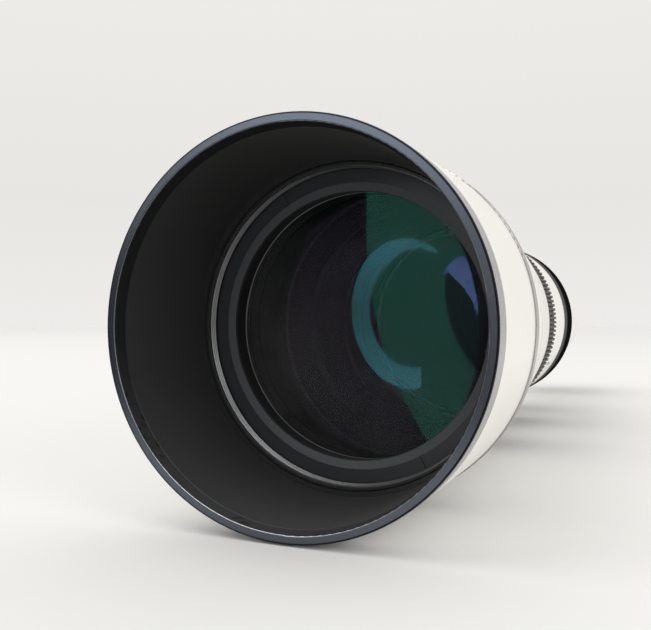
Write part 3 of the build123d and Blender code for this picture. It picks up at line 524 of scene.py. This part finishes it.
def flock():
    """Short black fibres glued inside the hood, with painted shade that makes the top blackest."""
    finish = Finish("flock")
    fibre = finish.noise(0.18 * mm, 3, roughness=0.7)
    nap = finish.noise(11 * mm, 4, roughness=0.6)
    dusty = finish.colour(nap, (0.0118, 0.012, 0.0125), (0.0188, 0.019, 0.0193))
    # painted shade: the lining is near black at the top and lighter towards the low side
    painted_light_low_side = finish.below(finish.parts()[2], 5 * mm, 48 * mm)
    finish.set(Base_Color=finish.colour(painted_light_low_side, (0.003, 0.003, 0.0032), dusty),
               Roughness=finish.between(fibre, 0.3, 0.7, 0.85, 0.97), Specular_IOR_Level=0.25,
               Sheen_Weight=0.06, Sheen_Roughness=0.6)
    finish.bump(fibre, 0.05 * mm)
    return finish.material


def felt():
    """Black felt of the strip in the hood, with loose fibres."""
    finish = Finish("felt")
    fibre = finish.noise(0.35 * mm, 5, roughness=0.75)
    finish.set(Base_Color=finish.colour(fibre, (0.015, 0.015, 0.015), (0.045, 0.045, 0.044)),
               Roughness=0.95, Sheen_Weight=0.3)
    finish.bump(fibre, 0.12 * mm)
    return finish.material


def glass(name, index, coating, dust=0.0):
    """Clear glass whose coating tints what it mirrors. dust is the share of light that haze of density 1
    scatters. The haze lies in wiped streaks, and a few motes in it have density 3. Its density runs from
    at most 1.9 on the low side at -X to 0.3 on the other side: painted light, which makes the haze
    brighter on the low side."""
    mote_density = 3.0
    finish = Finish(name)
    haze = finish.between(finish.noise(16 * mm, 5, roughness=0.6), 0.35, 0.7)
    streak = finish.between(finish.noise(1.4 * mm, 4, finish.brushed(), 0.7), 0.3, 0.75)
    mote = finish.between(finish.noise(0.55 * mm, 1), 0.78, 0.83)
    veil = finish.times(haze, finish.plus(finish.times(streak, 0.6), 0.4))
    x, _, z = finish.parts()
    # painted light: denser, brighter haze towards the low side at -X
    painted_light_low_side = finish.between(finish.plus(x, z), -35 * mm, 25 * mm, 1.9, 0.3)
    veil = finish.times(painted_light_low_side, finish.plus(finish.times(veil, 0.6), 0.4))
    veil = finish.math("MAXIMUM", veil, finish.times(mote, mote_density))
    clear = finish.between(veil, 0.0, mote_density, 1.0, 1.0 - mote_density * dust)
    finish.set(Base_Color=finish.colour(veil, (0.985, 0.985, 0.98), (0.93, 0.94, 0.95)), IOR=index,
               Specular_Tint=(*coating, 1), Roughness=0.0, Transmission_Weight=clear)
    return finish.material


def black_plastic():
    """Moulded black plastic with a fine grain, a little greyer where it is handled."""
    finish = Finish("black_plastic")
    grain = finish.noise(0.3 * mm, 3)
    wear = finish.noise(6 * mm, 4)
    finish.set(Base_Color=finish.colour(wear, (0.022, 0.022, 0.023), (0.034, 0.034, 0.035)),
               Roughness=finish.between(grain, 0.3, 0.7, 0.42, 0.58))
    finish.bump(grain, 0.03 * mm)
    return finish.material


def brass():
    """Turned brass."""
    return turned_metal("brass", (0.58, 0.4, 0.17), (0.72, 0.54, 0.27), metallic=1.0, rough=0.3).material


def steel():
    """Bright turned steel."""
    return turned_metal("steel", (0.4, 0.4, 0.41), (0.56, 0.56, 0.57), metallic=1.0, rough=0.3).material


def chrome_mount():
    """Chrome plating of the mount, smoother than the other metals."""
    finish = turned_metal("chrome_mount", (0.62, 0.62, 0.63), (0.78, 0.78, 0.79), metallic=1.0, rough=0.2)
    return finish.material


def black_ink():
    """Printing ink, a little uneven in cover."""
    finish = Finish("black_ink")
    edge = finish.noise(0.4 * mm, 4, roughness=0.7)
    finish.set(Base_Color=finish.colour(edge, (0.012, 0.012, 0.012), (0.03, 0.03, 0.03)),
               Roughness=finish.between(edge, 0.3, 0.7, 0.3, 0.5))
    return finish.material


finishes = {
    "white_paint": white_paint(),
    "dark_anodised": dark_anodised(),
    "black_anodised": black_anodised(),
    "rubber": rubber(),
    "flock": flock(),
    "felt": felt(),
    "coated_glass": glass("coated_glass", plain_glass, (0.05, 0.08, 0.2)),
    "clear_glass": glass("clear_glass", dense_glass, (0.03, 0.035, 0.04)),
    "front_coating": glass("front_coating", plain_glass, (0.02, 0.03, 0.045), dust=0.034),
    "green_coating": glass("green_coating", plain_glass, (0.03, 0.85, 0.52)),
    "black_plastic": black_plastic(),
    "brass": brass(),
    "steel": steel(),
    "chrome_mount": chrome_mount(),
    "black_ink": black_ink(),
    "collar_enamel": collar_enamel(),
    "blackened_steel": blackened_steel(),
    "ground_glass": ground_glass(),
}

# Nodes whose finish isn't their slot's: the photograph shows the collar dull and black, and the screws
# stand in the light's way
special_finishes = {"tripod_collar": "collar_enamel", "helicoid_screws": "blackened_steel"}


def finish_nodes():
    """Each node of the frame takes the finish of its own slot in the record, or its own special one."""
    for entry in frame["record"]["subparts"]:
        finish = finishes[special_finishes.get(entry["node"], entry["material_slot"])]
        for slot in frame["nodes"][entry["node"]].material_slots:
            slot.material = finish


# New pieces
def along_axis(start):
    """Places a thread along the optical axis, from a station on."""
    return lambda points: points + np.array([0, start, 0])


def up_from(station, height):
    """Places a thread upright, climbing from a height at a station."""
    return lambda points: np.stack([points[..., 0], station - points[..., 2], height + points[..., 1]],
                                   axis=-1)


def threads():
    """Ridges of the filter thread, the mount's thread and the tripod thread. An inner thread's crest has
    the smaller radius, and the mount's thread, an outer one, stands half as proud."""
    thread_ridge("filter_thread_ridge", filter_thread_radius, filter_thread_radius - thread_depth,
                 filter_thread_pitch, filter_thread_length, finishes["black_anodised"], "front_group",
                 along_axis(filter_front), steps_a_turn=256)
    thread_ridge("mount_thread_ridge", mount_thread_radius, mount_thread_radius + thread_depth / 2,
                 mount_thread_pitch, mount_thread_length, finishes["chrome_mount"], "body",
                 along_axis(mount_back - mount_thread_length), steps_a_turn=192)
    thread_ridge("tripod_thread_ridge", tripod_thread_radius, tripod_thread_radius - thread_depth,
                 tripod_thread_pitch, tripod_thread_length, finishes["steel"], "collar",
                 up_from(tripod_station, floor_level), steps_a_turn=48)


def objective():
    """The two front glasses, with a thin ground bevel that catches the light where the front one meets
    its ring, and fine steps that keep the ring's bore from shining."""
    clear = finishes["clear_glass"]
    made = lens("front_glass", glass_front, **front_glass,
                coatings=(finishes["front_coating"], finishes["green_coating"]), body="front_group",
                slot="coated_glass")
    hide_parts("front_element")
    made = lens("second_glass", second_vertex, **second_glass, coatings=(clear, clear),
                body="front_group", slot="clear_glass")
    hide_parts("second_element")
    glass_edge_line()
    bore_ridges()


def glass_edge_line():
    """Ground bevel: a thin four-cornered ring half sunk in the front face, at the sag of that face."""
    inside, outside = glass_edge_radius, glass_edge_radius + glass_edge_width
    face = glass_front + sag(front_glass["first_curve"], inside)
    outline = [(inside, face - 0.01 * mm), (outside, face - 0.05 * mm),
               (outside, face + 0.16 * mm), (inside, face + 0.13 * mm)]
    turned("glass_edge_line", outline, finishes["ground_glass"], "front_group")


def bore_ridges():
    """Steps in the retaining ring's bore: a saw tooth between the radii of its two ends, each tooth
    rising at once and falling slowly towards the back, closed by a wall buried in the ring."""
    share = np.repeat(np.arange(bore_steps + 1), 2)[1:-1] / bore_steps
    station = bore_front[1] + (bore_back[1] - bore_front[1]) * share
    wall = bore_front[0] + (bore_back[0] - bore_front[0]) * share
    tooth = np.tile([bore_step_height, 0.0], bore_steps)
    inner = np.stack([wall - tooth, station], axis=1)
    buried = np.array([bore_back, bore_front]) + np.array([0.1 * mm, 0])
    turned("retaining_bore_steps", np.concatenate([inner, buried]), finishes["black_anodised"],
           "front_group")


def letters(word):
    """Points (across, up, proud) and faces of a word's letters, lying flat and closed all round."""
    outlines = bpy.data.curves.new("letters", "FONT")
    outlines.body = word
    outlines.size = figure_height
    outlines.align_x = "CENTER"
    outlines.resolution_u = 4
    outlines.extrude = ink / 2
    written = bpy.data.objects.new("letters", outlines)
    mesh = bpy.data.meshes.new_from_object(written)
    solid = bmesh.new()
    solid.from_mesh(mesh)
    bmesh.ops.remove_doubles(solid, verts=solid.verts, dist=0.001 * mm)
    solid.to_mesh(mesh)
    solid.free()
    points = np.empty(3 * len(mesh.vertices))
    mesh.vertices.foreach_get("co", points)
    faces = [list(polygon.vertices) for polygon in mesh.polygons]
    bpy.data.objects.remove(written)
    bpy.data.meshes.remove(mesh)
    bpy.data.curves.remove(outlines)
    return points.reshape(-1, 3), faces


def figures(name, words, radius, front, angle, body):
    """Printed figures wrapped on a cylinder in front of their marks. A letter's point (across, up, proud)
    goes to (R sin t, front - gap - up, R cos t), with R = radius + proud and t = -angle * number -
    across / radius, so the figures are read from behind the lens."""
    points, faces = [], []
    count = 0
    for number, word in enumerate(words):
        flat, corners = letters(word)
        across, up, proud = flat.T
        turn = -angle * number - across / radius
        reach = radius + proud
        station = front - figure_gap - up
        points.append(np.stack([reach * np.sin(turn), station, reach * np.cos(turn)], axis=-1))
        faces += [[count + corner for corner in face] for face in corners]
        count += len(flat)
    piece(name, np.concatenate(points), faces, finishes["black_ink"], body, smooth=False)


def scales():
    """Distances on the focusing ring and focal lengths on the zoom ring, one figure at each mark."""
    figures("distance_figures", distances, focus_scale_radius, focus_marks_front, distance_angle,
            "focus_ring")
    figures("focal_length_figures", focal_lengths, zoom_scale_radius, zoom_marks_front, zoom_angle,
            "zoom_ring")


# Stage
def stage_piece(name, points, faces, colour, radiance=None):
    """A piece of the studio, and its finish: matt, or one that only gives off light at a radiance."""
    finish = Finish(name)
    finish.set(Base_Color=(*colour, 1), Roughness=0.9, Specular_IOR_Level=0.0)
    if radiance is not None:
        finish.set(Base_Color=(0, 0, 0, 1), Emission_Color=(*colour, 1), Emission_Strength=radiance)
    made = mesh_object(name, points, faces)
    made.data.materials.append(finish.material)
    return made, finish


def floor():
    """Sheet that the lens lies on, large enough to fade out before its edge."""
    reach = 6.0
    height = floor_level - 0.02 * mm
    corners = [(-reach, -reach, height), (reach, -reach, height), (reach, reach, height),
               (-reach, reach, height)]
    made, finish = stage_piece("sheet", corners, [(0, 1, 2, 3)], (0.885, 0.889, 0.885))
    fade_out(finish, near=0.6, far=4.0)
    made.visible_transmission = False  # the glasses mirror what stands beyond the sheet's near edge


def fade_out(finish, near, far):
    """Makes a surface fade into what lies behind it, between two distances from the origin."""
    distance = finish.nodes.new("ShaderNodeVectorMath")
    distance.operation = "LENGTH"
    finish.links.new(finish.place, distance.inputs[0])
    share = finish.below(distance.outputs["Value"], near, far)
    share.node.interpolation_type = "SMOOTHSTEP"
    finish.set(Alpha=share)


def seen_in(made, mirror):
    """A card or lamp that only the studio's mirrors see: the glass, or else the metal."""
    made.visible_camera = False
    made.visible_diffuse = False
    made.visible_shadow = False
    made.visible_transmission = mirror == "glass"
    made.visible_glossy = mirror == "metal"


def facing(bearing, distance):
    """Middle of a card at a bearing from straight ahead of the front glass, and its right and up."""
    turn = math.radians(bearing)
    towards = np.array([-math.sin(turn), math.cos(turn), 0])
    middle = np.array([0, glass_front, 0]) - distance * towards
    return middle, np.cross([0, 0, 1], towards), np.array([0, 0, 1.0])


def card(name, bearing, distance, outline, colour, radiance, mirror):
    """Flat card facing the front glass, with an outline of (across, rise) points."""
    middle, across, up = facing(bearing, distance)
    outline = np.array(outline)
    points = middle + outline[:, :1] * across + outline[:, 1:] * up
    made, _ = stage_piece(name, points, [range(len(outline))], colour, radiance)
    seen_in(made, mirror)


def level_card(name, corners, height, colour, radiance, mirror):
    """Flat card that lies level, with an outline of (x, y) corners."""
    points = [(x, y, height) for x, y in corners]
    made, _ = stage_piece(name, points, [range(len(points))], colour, radiance)
    seen_in(made, mirror)


def rectangle(left, right, bottom, top):
    """Corners of a rectangle, one way round."""
    return [(left, bottom), (right, bottom), (right, top), (left, top)]


def arc_lamp(name, bearing, distance, middle, outer, inner, start, end, taper, colour, radiance):
    """Flat lamp in the shape of an arc: points run from the outer to the inner radius between two angles,
    and past 0.72 of the way the width shrinks evenly to a taper share of itself."""
    steps = 120
    full_width = 0.72
    centre, across, up = facing(bearing, distance)
    turn = np.radians(np.linspace(start, end, steps))
    share = np.clip((np.linspace(0, 1, steps) - full_width) / (1 - full_width), 0, 1)
    inside = outer - (outer - inner) * (1 - (1 - taper) * share)
    rims = np.stack([outer + 0 * turn, inside])
    points = (centre + (middle[0] + rims * np.cos(turn))[..., None] * across
              + (middle[1] + rims * np.sin(turn))[..., None] * up)
    made, finish = stage_piece(name, points, grid_faces(2, steps, False, False), colour, radiance)
    grade(finish, middle[1], outer, radiance)
    seen_in(made, "glass")


def grade(finish, middle, reach, radiance):
    """Makes a lamp half as bright at a height as it is a reach above or below it."""
    away = finish.math("ABSOLUTE", finish.math("SUBTRACT", finish.parts()[2], middle))
    finish.set(Emission_Strength=finish.between(away, 0.0, reach, radiance / 2, radiance))


def area_lamp(name, place, target, size, power):
    """Round lamp at a place, turned towards a target, with its diameter in metres and power in watts."""
    data = bpy.data.lights.new(name, "AREA")
    data.shape = "DISK"
    data.size = size
    data.energy = power
    made = bpy.data.objects.new(name, data)
    made.location = place
    made.rotation_euler = (Vector(target) - Vector(place)).to_track_quat("-Z", "Y").to_euler()
    bpy.context.scene.collection.objects.link(made)


def world():
    """Pale surroundings, a little darker in a band above the horizon."""
    made = bpy.data.worlds.new("studio")
    made.use_nodes = True
    nodes = made.node_tree.nodes
    links = made.node_tree.links
    place = nodes.new("ShaderNodeTexCoord")
    parts = nodes.new("ShaderNodeSeparateXYZ")
    ramp = nodes.new("ShaderNodeValToRGB")
    links.new(place.outputs["Generated"], parts.inputs[0])
    links.new(parts.outputs[2], ramp.inputs[0])
    links.new(ramp.outputs[0], nodes["Background"].inputs["Color"])
    ramp.color_ramp.elements.new(0.14)
    horizon, band, above = ramp.color_ramp.elements
    horizon.position = 0.0
    horizon.color = (0.85, 0.835, 0.815, 1)
    band.color = (0.805, 0.79, 0.765, 1)
    above.position = 0.36
    above.color = (0.85, 0.832, 0.8, 1)
    bpy.context.scene.world = made


def studio():
    """Sheet, surroundings, a large soft lamp high on the left, a fill lamp on the right and the cards."""
    world()
    floor()
    lens_middle = (0, -0.3, 0)
    area_lamp("key_lamp", (-1.8, -0.8, 3.0), lens_middle, size=3.4, power=30.0)
    area_lamp("fill_lamp", (1.5, -1.1, 0.75), lens_middle, size=1.0, power=6.0)
    glass_reflections()
    metal_reflections()


def curve(controls, steps=24):
    """Points along a Bezier curve of n + 1 controls: each is the sum of the controls, number k weighted
    by (n over k) t^k (1 - t)^(n - k), with t from 0 to 1."""
    degree = len(controls) - 1
    order = np.arange(degree + 1)
    ways = np.array([math.comb(degree, number) for number in order])
    share = np.linspace(0, 1, steps)[:, None]
    return (ways * share ** order * (1 - share) ** (degree - order)) @ np.array(controls)


def glass_reflections():
    """What the back of the front glass mirrors: a ring lamp, a dark panel behind its left part, and a
    violet glow with a dark patch above it. Outlines are metres across and up from the cards' middle."""
    bearing = -35
    distance = 0.70
    panel_edge = curve([(-0.11, -0.62), (-0.13, -0.285), (-0.365, -0.02), (0.01, 0.26), (0.2, 0.45)])
    panel = np.concatenate([panel_edge, [(0.2, 0.7), (-1.2, 0.7), (-1.2, -0.62)]])
    glow_top = curve([(0.34, 0.118), (0.23, -0.01), (0.28, -0.055), (0.109, -0.15)])
    glow_bottom = curve([(0.087, -0.14), (0.175, -0.26), (0.55, -0.23), (0.7, -0.25)])
    glow = np.concatenate([glow_top, glow_bottom, [(0.7, 0.25)]])
    patch_edge = curve([(0.109, -0.15), (0.0, 0.005), (0.265, 0.155), (0.34, 0.118)])
    patch = np.concatenate([glow_top, patch_edge[1:-1]])
    card("dark_panel", bearing, distance + 0.02, panel, colour=(1, 1, 1), radiance=0.012, mirror="glass")
    card("glow_panel", bearing, distance - 0.01, glow, colour=(1.0, 0.29, 1.0), radiance=5.6,
         mirror="glass")
    card("dark_patch", bearing, distance - 0.015, patch, colour=(1, 0.9, 0.9), radiance=0.15,
         mirror="glass")
    arc_lamp("ring_lamp", bearing, distance, middle=(-0.03, -0.048), outer=0.207, inner=0.147, start=79,
             end=305, taper=0.25, colour=(1.0, 0.56, 1.0), radiance=4.3)


def metal_reflections():
    """What the metal rings mirror: a dark and a bright strip ahead, a dark mat and a panel overhead."""
    cool = (0.9, 0.95, 1)
    card("dark_strip", -21, 1.0, rectangle(-0.2, 0.7, -0.1, 0.12), cool, radiance=0.03, mirror="metal")
    card("bright_strip", -20, 1.0, rectangle(-0.16, 0.2, 0.15, 0.45), (0.93, 0.97, 1), radiance=2.2,
         mirror="metal")
    level_card("dark_mat", rectangle(-0.6, 0.1, -1.3, -0.65), floor_level + 0.5 * mm, cool, radiance=0.05,
               mirror="metal")
    level_card("overhead_panel", rectangle(-0.6, 0.6, -1.4, -0.6), 0.9, (1, 1, 1), radiance=5.0,
               mirror="metal")


def camera():
    """Camera at the photograph's place and angle, held level."""
    data = bpy.data.cameras.new("camera")
    data.lens = focal_length
    data.sensor_width = sensor_width
    data.clip_start = 0.01
    made = bpy.data.objects.new("camera", data)
    made.location = eye
    made.rotation_euler = (math.pi / 2, 0, heading)
    bpy.context.scene.collection.objects.link(made)
    bpy.context.scene.camera = made


camera()
finish_nodes()
threads()
objective()
scales()
studio()
bpy.context.scene.view_settings.view_transform = "Standard"
